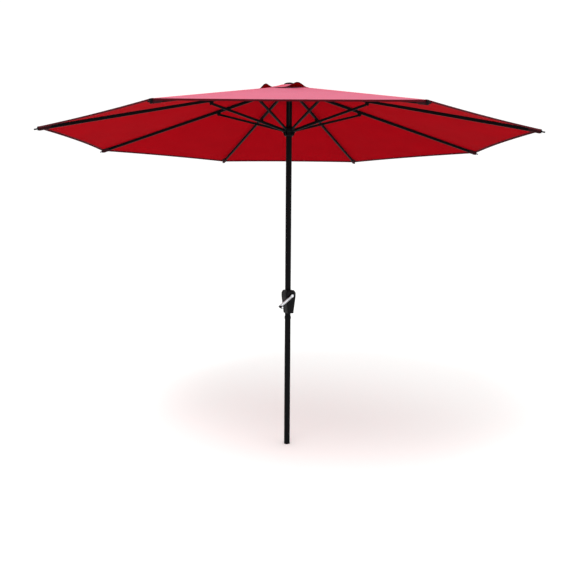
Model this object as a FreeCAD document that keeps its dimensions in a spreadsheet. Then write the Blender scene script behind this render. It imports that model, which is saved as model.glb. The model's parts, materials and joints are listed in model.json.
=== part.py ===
"""Market umbrella with a crank lift: two-piece pole, eight folding ribs and struts, panelled canopy and wind vent.

The origin is the middle of the pole's foot and +Z points up the pole. The canopy is open. Lengths are in
millimetres and angles in degrees. Each rib folds down about a pin in the top hub. Its strut is as long as the
distance from that pin to the strut's own pin on the rib, and hub and runner carry their pins at one radius, so
the runner travels straight down the pole as the ribs fold.
"""
import os

import FreeCAD
import Part
import Sketcher

# a value that starts with = follows other sizes of the sheet
DIMENSIONS = {
    # the pole: both tubes share one bore, and the lower one has the thicker wall
    "pole_radius": 19.0,
    "pole_wall": 1.5,
    "lower_pole_step": 0.5,
    "lower_pole_radius": "=pole_radius + lower_pole_step",
    "lower_pole_length": 862.0,
    "foot_plug_depth": 25.0,
    "ferrule_wall": 2.2,
    "ferrule_length": 16.0,
    "ferrule_reveal": 2.0,
    "coupler_wall": 1.5,
    "coupler_reach": 85.0,
    "shaft_way_gap": 1.0,
    # the folding frame
    "rib_count": 8,
    "first_rib_azimuth": -67.5,
    "hub_height": 2351.0,
    "pivot_radius": 38.0,
    "rib_tilt": 13.05,
    "rib_length": 1519.0,
    "rib_width": 12.0,
    "rib_depth": 18.0,
    "rib_wall": 1.0,
    "rib_corner": 2.0,
    "tip_cap_length": 62.0,
    "tip_finger_length": 21.0,
    "tip_finger_radius": 4.0,
    "tip_cap_rim": 3.0,
    "junction_along": 490.0,
    "junction_below": 10.5,
    "junction_drop": "=rib_depth / 2 + junction_below",
    "strut_width": 12.0,
    "strut_depth": 15.0,
    "strut_wall": 1.0,
    "pin_radius": 2.5,
    "pin_play": 0.05,
    "pin_length": 19.0,
    "eye_radius": 6.5,
    "rib_tongue": 6.0,
    "strut_tongue": 5.0,
    "tongue_play": 0.5,
    "tongue_root": 4.0,
    "eye_slot_length": 40.0,
    "eye_slot_reach": 60.0,
    "tube_start": 17.0,
    "insert_length": 24.0,
    "saddle_length": 34.0,
    "saddle_plate": 1.6,
    "bracket_play": 0.3,
    "bracket_wall": 1.4,
    "bracket_length": 22.0,
    "cheek": 2.6,
    "cheek_play": 0.4,
    # the hub and its cap
    "hub_rim": 8.0,
    "hub_radius": "=pivot_radius + hub_rim",
    "hub_above": 8.0,
    "hub_below": 12.0,
    "hub_skirt": 20.0,
    "hub_skirt_wall": 5.5,
    "hub_plate_low": 4.0,
    "hub_plate_high": 12.0,
    "slot_depth": 11.0,
    "slot_floor_radius": "=pivot_radius - slot_depth",
    "cap_inset": 2.0,
    "cap_radius": "=pivot_radius - cap_inset",
    "cap_base": 24.5,
    "cap_height": 13.0,
    "cap_wall": 3.0,
    "cap_stem_radius": 5.0,
    "cap_skirt": 3.0,
    "cap_shoulder_rise": 8.0,
    "cap_shoulder_inset": 4.0,
    "cap_crown_drop": 2.0,
    "cap_crown_inset": 12.0,
    "cap_flat_inset": 20.0,
    # the runner
    "runner_play": 0.6,
    "runner_wall": 5.0,
    "runner_rim": 7.0,
    "runner_radius": "=pivot_radius + runner_rim",
    "runner_half_flange": 11.0,
    "runner_above": 24.0,
    "runner_below": 38.0,
    "runner_lip": 3.0,
    "runner_lip_low": 4.0,
    "runner_lip_high": 10.0,
    "runner_web": 4.0,
    # the lift cord and its pulley
    "cord_radius": 1.75,
    "hub_cord_gap": 1.5,
    "hub_riser_gap": 3.0,
    "runner_cord_gap": 0.5,
    "pulley_rise": 17.0,
    "pulley_pitch_radius": 9.5,
    "pulley_flange_radius": 11.5,
    "pulley_width": 7.0,
    "pulley_pin_radius": 2.0,
    "pulley_lug": 4.0,
    "pulley_lug_length": 16.0,
    "pulley_lug_over": 4.0,
    "pulley_side_gap": 0.8,
    "pulley_well_gap": 1.5,
    "pulley_well_floor": 0.5,
    "running_gap": 0.3,
    # the crank
    "crank_azimuth": 30.0,
    "crank_height": 1024.0,
    "crank_shaft_radius": 5.0,
    "shaft_play": 0.05,
    "drum_gap": 0.61,
    "drum_radius": "=sqrt((pole_radius - pole_wall)^2 - drum_length^2 / 4) - drum_gap",
    "drum_core_radius": 8.0,
    "drum_length": 22.0,
    "drum_flange": 2.0,
    "housing_side": 18.0,
    "housing_width": "=2 * (pole_radius + housing_side)",
    "housing_top": 34.0,
    "housing_shoulder": 17.0,
    "housing_top_side": 6.0,
    "housing_top_width": "=2 * (pole_radius + housing_top_side)",
    "housing_belly": -8.0,
    "housing_taper": 102.0,
    "housing_taper_side": 4.0,
    "housing_taper_width": "=2 * (pole_radius + housing_taper_side)",
    "housing_bottom": 120.0,
    "housing_bottom_side": 2.0,
    "housing_bottom_width": "=2 * (pole_radius + housing_bottom_side)",
    "housing_front_depth": 26.0,
    "housing_front": "=pole_radius + housing_front_depth",
    "housing_rear_depth": 8.0,
    "housing_rear": "=pole_radius + housing_rear_depth",
    "housing_wall": 2.5,
    "housing_round": 9.0,
    "housing_edge": 8.0,
    "boss_radius": 4.5,
    "bush_wall": 4.0,
    "bush_length": 10.0,
    "bush_inset": 11.0,
    "screw_radius": 1.5,
    "screw_length": 30.0,
    "screw_start": 4.0,
    "screw_head_radius": 3.2,
    "screw_head_depth": 2.4,
    "screw_well_depth": 4.4,
    "upper_screw_rise": 10.0,
    "upper_screw_side": 10.0,
    "upper_screw_offset": "=pole_radius + upper_screw_side",
    "lower_screw_drop": 58.0,
    "lower_screw_side": 3.4,
    "lower_screw_offset": "=pole_radius + lower_screw_side",
    "brake_spring_radius": 6.6,
    "brake_wire_radius": 0.9,
    "brake_spring_length": 8.4,
    "brake_wire_gap": 1.0,
    "brake_spring_inset": 3.0,
    "shaft_tail": 12.0,
    "arm_gap": 13.0,
    "arm_plane": "=housing_front + arm_gap",
    "arm_length": 115.0,
    "arm_angle": 214.0,
    "arm_thickness": 2.5,
    "arm_width": 16.0,
    "arm_lip": 7.0,
    "arm_lip_wall": 1.8,
    "arm_lip_start": 12.0,
    "arm_boss": 6.0,
    "arm_boss_wall": 8.0,
    "arm_hub_radius": 10.0,
    "knob_radius": 10.0,
    "knob_length": 34.0,
    "knob_pin_radius": 3.0,
    "knob_pin_head": 2.5,
    "knob_pin_head_depth": 2.0,
    "knob_waist": 3.0,
    "knob_end_round": 5.0,
    # the fabric
    "hem_beyond_cap": 2.76,
    "canopy_corner": "=pivot_radius + (rib_length - tip_finger_length + hem_beyond_cap) * cos(rib_tilt)",
    "canopy_opening": 205.0,
    "canopy_gap": 1.4,
    "canopy_thickness": 0.8,
    "panel_gap_angle": 0.24,
    "vent_reach": 275.0,
    "vent_under_cap": 2.0,
    "vent_neck": "=cap_radius - vent_under_cap",
    "vent_rise": 12.5,
    "skin_margin": 20.0,
}

COUNT = int(DIMENSIONS["rib_count"])
STRUT_LENGTH = "sqrt(dims.junction_along^2 + dims.junction_drop^2)"
# half the height from the runner's pins up to the hub's
HALF_DROP = "(dims.junction_along * sin(dims.rib_tilt) + dims.junction_drop * cos(dims.rib_tilt))"
STRUT_PITCH = f"asin({HALF_DROP} / {STRUT_LENGTH})"
RUNNER_HEIGHT = f"(dims.hub_height - 2 * {HALF_DROP})"
POLE_BORE = "(dims.pole_radius - dims.pole_wall)"
PULLEY_HEIGHT = "(dims.hub_height + dims.pulley_rise)"
# the rib's top face and the fabric over it, measured straight up from the rib's centre line
RIB_TOP = "(dims.rib_depth / 2 / cos(dims.rib_tilt))"

doc = FreeCAD.newDocument("umbrella")
sheet = doc.addObject("Spreadsheet::Sheet", "dims")
for row, word in enumerate(DIMENSIONS, start=1):
    sheet.set(f"A{row}", word)
    sheet.setAlias(f"B{row}", word)
doc.recompute()
for row, number in enumerate(DIMENSIONS.values(), start=1):
    sheet.set(f"B{row}", str(number))
doc.recompute()

nodes = []


# ---------------------------------------------------------------- helpers

def size_of(text):
    """The number that an expression on the sheet has now."""
    found = sheet.evalExpression(text)
    return float(getattr(found, "Value", found))


def rib_azimuth(index):
    return f"(dims.first_rib_azimuth + {index} * 360 / dims.rib_count)"


def place(item, x="0", y="0", z="0", turn="0", pitch="0", roll="0"):
    """Puts an object at x, y, z: rolled about X, then pitched about Y, then turned about Z."""
    item.setExpression("Placement", (
        f"create(<<placement>>; create(<<vector>>; {x}; {y}; {z}); "
        f"create(<<rotation>>; {turn}; {pitch}; {roll}))"))
    return item


def around(item, radius, height, turn, pitch="0", roll="0"):
    """Puts an object at a radius and a height on the given azimuth, facing outwards."""
    return place(item, f"{radius} * cos({turn})", f"{radius} * sin({turn})", height, turn, pitch, roll)


def block(length, width, height, x="0", y=None, z="0"):
    """A box from x to x + length, centred across on y unless y says otherwise."""
    item = doc.addObject("Part::Box", "block")
    item.setExpression("Length", length)
    item.setExpression("Width", width)
    item.setExpression("Height", height)
    return place(item, x, y or f"-({width}) / 2", z)


def rod(radius, length, x="0", y="0", z="0", axis="Z"):
    """A round bar: up from z, or towards -Y from y, or along +X from x."""
    item = doc.addObject("Part::Cylinder", "rod")
    item.setExpression("Radius", radius)
    item.setExpression("Height", length)
    pitch = "90" if axis == "X" else "0"
    roll = "90" if axis == "Y" else "0"
    return place(item, x, y, z, "0", pitch, roll)


def cross_pin(radius, length, x, z):
    """A round bar across a rib, strut or ear, centred on y = 0."""
    return rod(radius, length, x, f"({length}) / 2", z, "Y")


def cut(base, *tools):
    for tool in tools:
        item = doc.addObject("Part::Cut", "cut")
        item.Base = base
        item.Tool = tool
        base = item
    return base


def fuse(*shapes):
    item = doc.addObject("Part::MultiFuse", "fuse")
    item.Shapes = list(shapes)
    return item


def common(*shapes):
    item = doc.addObject("Part::MultiCommon", "common")
    item.Shapes = list(shapes)
    return item


def group(*shapes):
    """Separate solids that share one node."""
    item = doc.addObject("Part::Compound", "group")
    item.Links = list(shapes)
    return item


def node(label, item):
    item.Label = label
    nodes.append(item)
    return item


def rounded(item, radius, wanted):
    """Rounds the edges that the test picks."""
    doc.recompute()
    fillet = doc.addObject("Part::Fillet", "rounded")
    fillet.Base = item
    size = size_of(radius)
    fillet.Edges = [(i, size, size) for i, edge in enumerate(item.Shape.Edges, start=1) if wanted(edge)]
    return fillet


def runs_along(edge, axis):
    first, last = (vertex.Point for vertex in (edge.Vertexes[0], edge.Vertexes[-1]))
    run = last - first
    return run.Length > 0 and abs(run.dot(axis)) > 0.999 * run.Length


def outline(body, points, plane="XZ_Plane", offset=None):
    """A closed sketch of straight lines through points, each a pair of expressions tied to the sheet."""
    sketch = body.newObject("Sketcher::SketchObject", "outline")
    base = [item for item in body.Origin.OriginFeatures if item.Role == plane][0]
    sketch.AttachmentSupport = [(base, "")]
    sketch.MapMode = "FlatFace"
    if offset:
        sketch.setExpression("AttachmentOffset.Base.z", offset)
    corners = [FreeCAD.Vector(size_of(across), size_of(up), 0) for across, up in points]
    last = len(corners)
    for i, corner in enumerate(corners):
        sketch.addGeometry(Part.LineSegment(corner, corners[(i + 1) % last]))
    for i, corner in enumerate(corners):
        sketch.addConstraint(Sketcher.Constraint("Coincident", i, 2, (i + 1) % last, 1))
        for kind, number, text in (("DistanceX", corner.x, points[i][0]), ("DistanceY", corner.y, points[i][1])):
            index = sketch.addConstraint(Sketcher.Constraint(kind, -1, 1, i, 1, number))
            sketch.renameConstraint(index, f"{kind}{i}")
            sketch.setExpression(f"Constraints.{kind}{i}", text)
    return sketch


def turned(name, points):
    """A body turned about Z from a half section of radius and height pairs."""
    body = doc.addObject("PartDesign::Body", name)
    feature = body.newObject("PartDesign::Revolution", "revolution")
    feature.Profile = outline(body, points)
    feature.ReferenceAxis = (feature.Profile[0], ["V_Axis"])
    feature.Angle = 360
    body.Tip = feature
    return body


def padded(name, points, depth, offset):
    """A body padded towards -Y from an outline in X and Z that stands at y = offset."""
    body = doc.addObject("PartDesign::Body", name)
    feature = body.newObject("PartDesign::Pad", "pad")
    feature.Profile = outline(body, points, offset=f"-({offset})")
    feature.setExpression("Length", depth)
    body.Tip = feature
    return body


# ---------------------------------------------------------------- pole

def tube(radius, wall, low, length):
    return cut(rod(radius, length, z=low), rod(f"{radius} - {wall}", f"({length}) + 2", z=f"{low} - 1"))


def make_pole():
    """Lower and upper tube, the sleeve inside their joint, the ferrule above it and the plug in the foot."""
    node("lower_pole", tube("dims.lower_pole_radius", f"(dims.lower_pole_radius - {POLE_BORE})", "0",
                            "dims.lower_pole_length"))
    upper = tube("dims.pole_radius", "dims.pole_wall", "dims.lower_pole_length",
                 "dims.hub_height + dims.hub_plate_low - dims.lower_pole_length")
    shaft_way = rod("dims.crank_shaft_radius + dims.shaft_way_gap", "dims.pole_radius * 4")
    place(shaft_way, "-dims.pole_radius * 2 * sin(dims.crank_azimuth)",
          "dims.pole_radius * 2 * cos(dims.crank_azimuth)", "dims.crank_height", "dims.crank_azimuth", "0", "90")
    node("upper_pole", cut(upper, shaft_way))
    node("pole_coupler", tube(POLE_BORE, "dims.coupler_wall", "dims.lower_pole_length - dims.coupler_reach",
                              "dims.coupler_reach * 2"))
    # the ferrule stands on the upper tube just clear of the lower one, so a base can take the whole lower tube
    node("pole_ferrule", tube("(dims.lower_pole_radius + dims.ferrule_wall)",
                              "(dims.lower_pole_radius + dims.ferrule_wall - dims.pole_radius)",
                              "dims.lower_pole_length + dims.ferrule_reveal", "dims.ferrule_length"))
    node("foot_plug", rod(POLE_BORE, "dims.foot_plug_depth"))


# ---------------------------------------------------------------- hub, cap and pulley

def pivot_pin(index, height):
    pin = rod("dims.pin_radius", "dims.pin_length")
    turn = rib_azimuth(index)
    half = "dims.pin_length / 2"
    return place(pin, f"dims.pivot_radius * cos({turn}) - {half} * sin({turn})",
                 f"dims.pivot_radius * sin({turn}) + {half} * cos({turn})", height, turn, "0", "90")


def slot(index, width, height):
    """A radial gap for one eye, right through a flange about the given height."""
    item = block("dims.eye_slot_length", width, "2 * dims.eye_slot_reach")
    turn, reach = rib_azimuth(index), "dims.slot_floor_radius"
    return place(item, f"{reach} * cos({turn}) + ({width}) / 2 * sin({turn})",
                 f"{reach} * sin({turn}) - ({width}) / 2 * cos({turn})", f"{height} - dims.eye_slot_reach", turn)


def make_hub():
    """The cast hub with an open slot and a cross pin for each rib, and its cap."""
    up, down = "dims.hub_above", "-dims.hub_below"
    skirt = "dims.pole_radius + dims.hub_skirt_wall"
    section = [("dims.pole_radius", f"{down} - dims.hub_skirt"), (skirt, f"{down} - dims.hub_skirt"),
               (skirt, down), ("dims.hub_radius", down), ("dims.hub_radius", up),
               ("dims.cap_radius - 1", up), ("dims.cap_radius - 1", "dims.hub_plate_high"),
               ("dims.cap_stem_radius", "dims.hub_plate_high"), ("dims.cap_stem_radius", "dims.hub_plate_low"),
               ("dims.pole_radius", "dims.hub_plate_low")]
    body = place(turned("hub_body", section), z="dims.hub_height")
    side = "dims.pulley_width / 2 + dims.pulley_side_gap"
    lugs = []
    for direction in (-1, 1):
        inner = f"{direction} * ({side}) - " + ("dims.pulley_lug" if direction < 0 else "0")
        lugs.append(block("dims.pulley_lug", "dims.pulley_lug_length",
                          "dims.pulley_rise - dims.hub_plate_high + dims.pulley_lug_over", inner,
                          "-dims.pole_radius - dims.pulley_lug_length / 2",
                          "dims.hub_height + dims.hub_plate_high"))
    pins = group(*[pivot_pin(i, "dims.hub_height") for i in range(COUNT)])
    slots = [slot(i, "dims.rib_tongue + 2 * dims.tongue_play", "dims.hub_height") for i in range(COUNT)]
    well = block(f"2 * ({side})", "(dims.pulley_flange_radius + dims.pulley_well_gap) * 2", "dims.hub_radius",
                 f"-({side})", "-dims.pole_radius - dims.pulley_flange_radius - dims.pulley_well_gap",
                 "dims.hub_height + dims.hub_plate_low + dims.pulley_well_floor")
    drop_hole = rod("dims.cord_radius + dims.hub_cord_gap", "2 * dims.hub_radius",
                    y="-dims.pole_radius - dims.pulley_pitch_radius", z="dims.hub_height - dims.hub_radius")
    riser = rod("dims.cord_radius + dims.hub_riser_gap", "dims.hub_plate_high + 2 * dims.hub_plate_low",
                y="-dims.pole_radius + dims.pulley_pitch_radius", z="dims.hub_height - dims.hub_plate_low")
    pulley_pin = rod("dims.pulley_pin_radius", f"2 * ({side} + dims.pulley_lug)",
                     f"-({side}) - dims.pulley_lug", "-dims.pole_radius", PULLEY_HEIGHT, "X")
    node("top_hub", cut(fuse(body, *lugs), *slots, pins, well, drop_hole, riser, pulley_pin))
    node("hub_pins", pins)
    node("pulley_pin", pulley_pin)
    base, top = "dims.cap_base", "dims.cap_base + dims.cap_height"
    wide, roof = "dims.cap_radius", f"{top} - dims.cap_wall - 1"
    crown = [("0", "dims.hub_plate_low"), ("dims.cap_stem_radius", "dims.hub_plate_low"),
             ("dims.cap_stem_radius", roof), (f"{wide} - dims.cap_crown_inset", roof),
             (f"{wide} - dims.cap_wall", f"{base} + dims.cap_skirt"), (f"{wide} - dims.cap_wall", base),
             (wide, base), (wide, f"{base} + dims.cap_skirt"),
             (f"{wide} - dims.cap_shoulder_inset", f"{base} + dims.cap_shoulder_rise"),
             (f"{wide} - dims.cap_crown_inset", f"{top} - dims.cap_crown_drop"),
             (f"{wide} - dims.cap_flat_inset", top), ("0", top)]
    node("top_cap", place(turned("cap_body", crown), z="dims.hub_height"))


def make_pulley():
    """The grooved wheel that turns the cord from the pole's inside to its outside."""
    half, bore = "dims.pulley_width / 2", "dims.pulley_pin_radius + dims.pin_play"
    floor = "dims.pulley_pitch_radius - dims.cord_radius - dims.running_gap"
    section = [(bore, f"-{half}"), ("dims.pulley_flange_radius", f"-{half}"), (floor, "-dims.cord_radius"),
               (floor, "dims.cord_radius"), ("dims.pulley_flange_radius", half), (bore, half)]
    wheel = turned("pulley_body", section)
    node("pulley", place(wheel, "0", "-dims.pole_radius", PULLEY_HEIGHT, "0", "90"))


# ---------------------------------------------------------------- ribs and struts

def make_rib(index):
    """A rectangular steel tube with a root eye, a strut saddle with its rivet, and a cap with a finger."""
    turn = rib_azimuth(index)
    half, inner = "dims.rib_depth / 2", "dims.rib_depth - 2 * dims.rib_wall"
    inner_width = "dims.rib_width - 2 * dims.rib_wall"
    length = "dims.rib_length - dims.tube_start - dims.tip_finger_length"
    shell = rounded(block(length, "dims.rib_width", "dims.rib_depth", "dims.tube_start", z=f"-{half}"),
                    "dims.rib_corner", lambda edge: runs_along(edge, FreeCAD.Vector(1, 0, 0)))
    hollow = block(f"{length} + 2", inner_width, inner, "dims.tube_start - 1", z=f"-({inner}) / 2")
    node(f"rib_{index + 1}", around(cut(shell, hollow), "dims.pivot_radius", "dims.hub_height", turn, "dims.rib_tilt"))

    eye = cut(fuse(cross_pin("dims.eye_radius", "dims.rib_tongue", "0", "0"),
                   block("dims.tube_start + dims.tongue_root", "dims.rib_tongue", "dims.eye_radius * 2",
                         z="-dims.eye_radius"),
                   block("dims.insert_length", inner_width, inner, "dims.tube_start", z=f"-({inner}) / 2")),
              cross_pin("dims.pin_radius + dims.pin_play", "dims.rib_tongue + 2", "0", "0"))
    lug = "dims.strut_width - 2 * (dims.cheek + dims.cheek_play)"
    outside = "dims.strut_width + 2 * (dims.bracket_play + dims.bracket_wall)"
    rivet = cross_pin("dims.pin_radius", f"{outside} + 1", "dims.junction_along", "-dims.junction_drop")
    sides = [block("dims.bracket_length", "dims.bracket_wall", f"dims.junction_drop + dims.eye_radius - {half}",
                   "dims.junction_along - dims.bracket_length / 2", across,
                   "-dims.junction_drop - dims.eye_radius")
             for across in (f"-({outside}) / 2", f"({outside}) / 2 - dims.bracket_wall")]
    saddle = cut(fuse(block("dims.saddle_length", outside, "dims.saddle_plate",
                            "dims.junction_along - dims.saddle_length / 2", z=f"-{half} - dims.saddle_plate"),
                      *sides,
                      block("dims.eye_radius * 2", lug, f"dims.junction_drop - {half}",
                            "dims.junction_along - dims.eye_radius", z="-dims.junction_drop"),
                      cross_pin("dims.eye_radius", lug, "dims.junction_along", "-dims.junction_drop")), rivet)
    end = "dims.rib_length - dims.tip_finger_length"
    cap = fuse(block("dims.tip_cap_length", inner_width, inner, f"{end} - dims.tip_cap_length",
                     z=f"-({inner}) / 2"),
               block("dims.tip_cap_rim", "dims.rib_width", "dims.rib_depth", end, z=f"-{half}"),
               rod("dims.tip_finger_radius", "dims.tip_finger_length", end, axis="X"))
    fittings = group(eye, saddle, rivet, cap)
    node(f"rib_fittings_{index + 1}",
         around(fittings, "dims.pivot_radius", "dims.hub_height", turn, "dims.rib_tilt"))


def make_strut(index):
    """A tube with a tongue for the runner at its foot and a fork for the rib's saddle at its head."""
    half, far = "dims.strut_depth / 2", STRUT_LENGTH
    inner, inner_width = "dims.strut_depth - 2 * dims.strut_wall", "dims.strut_width - 2 * dims.strut_wall"
    length = f"{far} - 2 * dims.tube_start"
    shell = rounded(block(length, "dims.strut_width", "dims.strut_depth", "dims.tube_start", z=f"-{half}"),
                    "dims.rib_corner", lambda edge: runs_along(edge, FreeCAD.Vector(1, 0, 0)))
    hollow = block(f"{length} - 2 * dims.insert_length", inner_width, inner,
                   "dims.tube_start + dims.insert_length", z=f"-({inner}) / 2")
    gap = "dims.strut_width - 2 * dims.cheek"
    solid = fuse(cut(shell, hollow), cross_pin("dims.eye_radius", "dims.strut_tongue", "0", "0"),
                 block("dims.tube_start + dims.tongue_root", "dims.strut_tongue", "dims.eye_radius * 2",
                       z="-dims.eye_radius"),
                 cross_pin("dims.eye_radius", "dims.strut_width", far, "0"),
                 block("dims.tube_start + dims.tongue_root", "dims.strut_width", "dims.eye_radius * 2",
                       f"{far} - dims.tube_start - dims.tongue_root", z="-dims.eye_radius"))
    fork_gap = block("dims.tube_start * 2", gap, "dims.strut_depth * 2",
                     f"{far} - dims.tube_start + 1", z="-dims.strut_depth")
    hole = "dims.pin_radius + dims.pin_play"
    strut = cut(solid, fork_gap, cross_pin(hole, "dims.strut_width + 2", "0", "0"),
                cross_pin(hole, "dims.strut_width + 4", far, "0"))
    node(f"strut_{index + 1}",
         around(strut, "dims.pivot_radius", RUNNER_HEIGHT, rib_azimuth(index), f"-{STRUT_PITCH}"))


def make_runner():
    """The sleeve that slides on the pole, with slots and cross pins for the struts."""
    bore = "dims.pole_radius + dims.runner_play"
    neck = f"{bore} + dims.runner_wall"
    flange = "dims.runner_half_flange"
    lip, foot, web = "dims.runner_lip", "-dims.runner_below", "dims.runner_web"
    section = [(bore, foot), (neck, foot), (f"{neck} + {lip}", f"{foot} + dims.runner_lip_low"),
               (f"{neck} + {lip}", f"{foot} + dims.runner_lip_high"), (neck, f"{foot} + dims.runner_lip_high + {lip}"),
               (neck, f"-{flange} - {web}"), (f"{neck} + {web}", f"-{flange}"), ("dims.runner_radius", f"-{flange}"),
               ("dims.runner_radius", flange), (neck, flange), (neck, "dims.runner_above"),
               (bore, "dims.runner_above")]
    body = place(turned("runner_body", section), z=RUNNER_HEIGHT)
    pins = group(*[pivot_pin(i, RUNNER_HEIGHT) for i in range(COUNT)])
    slots = [slot(i, "dims.strut_tongue + 2 * dims.tongue_play", RUNNER_HEIGHT) for i in range(COUNT)]
    cord_hole = rod("dims.cord_radius + dims.runner_cord_gap", "2 * dims.runner_radius",
                    y="-dims.pole_radius - dims.pulley_pitch_radius", z=f"{RUNNER_HEIGHT} - dims.runner_radius")
    node("runner", cut(body, *slots, pins, cord_hole))
    node("runner_pins", pins)


# ---------------------------------------------------------------- lift cord

def make_cord():
    """Up inside the pole from the drum, half round the pulley, and down outside to the runner."""
    start_x, start_y = "-dims.drum_radius * cos(dims.crank_azimuth)", "-dims.drum_radius * sin(dims.crank_azimuth)"
    across, rise = "dims.drum_radius * cos(dims.crank_azimuth)", f"({PULLEY_HEIGHT} - dims.crank_height)"
    back = f"(-dims.pole_radius + dims.pulley_pitch_radius - ({start_y}))"
    sideways = f"sqrt(({across})^2 + {back}^2)"
    inner_run = rod("dims.cord_radius", f"sqrt(({sideways})^2 + {rise}^2)")
    place(inner_run, start_x, start_y, "dims.crank_height", f"atan2({back}; {across})",
          f"atan2({sideways}; {rise})")
    bend = doc.addObject("Part::Torus", "cord_over_pulley")
    bend.setExpression("Radius1", "dims.pulley_pitch_radius")
    bend.setExpression("Radius2", "dims.cord_radius")
    bend.Angle3 = 180
    place(bend, "0", "-dims.pole_radius", PULLEY_HEIGHT, "90", "0", "90")
    node("lift_cord", fuse(inner_run, bend))
    tail_foot = f"({RUNNER_HEIGHT} + dims.runner_half_flange + dims.running_gap)"
    node("lift_cord_tail", rod("dims.cord_radius", f"{PULLEY_HEIGHT} - dims.running_gap - {tail_foot}",
                               y="-dims.pole_radius - dims.pulley_pitch_radius", z=tail_foot))


# ---------------------------------------------------------------- crank

def housing_outline(inset):
    """The casing's front view about the crank's axis, inset all round."""
    rows = [("dims.housing_bottom_width", "-dims.housing_bottom", 1),
            ("dims.housing_taper_width", "-dims.housing_taper", 0),
            ("dims.housing_width", "dims.housing_belly", 0), ("dims.housing_width", "dims.housing_shoulder", 0),
            ("dims.housing_top_width", "dims.housing_top", -1)]
    right = [(f"{width} / 2 - {inset}", f"{height} + {side} * {inset}") for width, height, side in rows]
    left = [(f"-({across})", up) for across, up in reversed(right)]
    return right + left


def crank_part(*items):
    """Turns pieces made about the crank's own axis to where the crank stands on the pole."""
    return place(group(*items), z="dims.crank_height", turn="dims.crank_azimuth")


def make_housing():
    """Two hollow shells clamped round the pole by four screws, with a bush for the crank's shaft."""
    depth = "dims.housing_front + dims.housing_rear"
    blank = padded("housing_body", housing_outline("0"), depth, "dims.housing_rear")
    across = FreeCAD.Vector(0, 1, 0)
    low = size_of("-dims.housing_taper")
    blank = rounded(blank, "dims.housing_round",
                    lambda edge: runs_along(edge, across) and edge.CenterOfMass.z > low + 1)
    front, rear = size_of("-dims.housing_front"), size_of("dims.housing_rear")
    blank = rounded(blank, "dims.housing_edge",
                    lambda edge: min(abs(edge.CenterOfMass.y - front), abs(edge.CenterOfMass.y - rear)) < 0.01)
    cavity = padded("housing_cavity", housing_outline("dims.housing_wall"), f"{depth} - 2 * dims.housing_wall",
                    "dims.housing_rear - dims.housing_wall")
    spots = [(f"{side} * {offset}", rise) for side in (-1, 1)
             for offset, rise in (("dims.upper_screw_offset", "dims.upper_screw_rise"),
                                  ("dims.lower_screw_offset", "-dims.lower_screw_drop"))]
    bosses = [rod("dims.boss_radius", f"{depth} - 2", x, "dims.housing_rear - 1", z, "Y") for x, z in spots]
    bush = rod("dims.crank_shaft_radius + dims.bush_wall", "dims.bush_length",
               y="-dims.housing_front + dims.bush_inset", axis="Y")
    shell = fuse(cut(blank, cavity), *bosses, bush)
    collar = rod("dims.pole_radius", "3 * dims.housing_bottom", z="-1.5 * dims.housing_bottom")
    shaft_hole = rod("dims.crank_shaft_radius + dims.shaft_play", "dims.housing_front", y="-dims.pole_radius",
                     axis="Y")
    screws = []
    heads = []
    for x, z in spots:
        screws.append(rod("dims.screw_radius", "dims.screw_length", x, "dims.housing_rear - dims.screw_start", z,
                          "Y"))
        heads.append(rod("dims.screw_head_radius", "dims.screw_head_depth", x,
                         "dims.housing_rear - dims.screw_start + 2", z, "Y"))
    wells = [rod("dims.screw_head_radius", "2 * dims.housing_edge", x,
                 "dims.housing_rear - dims.screw_well_depth + 2 * dims.housing_edge", z, "Y") for x, z in spots]
    whole = cut(shell, collar, shaft_hole, *screws, *wells)
    far = "(3 * dims.housing_bottom)"
    for label, low_y in (("crank_housing_front", f"-{far}"), ("crank_housing_rear", "0")):
        half = block(far, far, far, f"-{far} / 2", low_y, f"-{far} / 2")
        node(label, crank_part(common(whole, half)))
    fasteners = [fuse(shank, head) for shank, head in zip(screws, heads)]
    node("housing_screws", crank_part(*fasteners))


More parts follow.
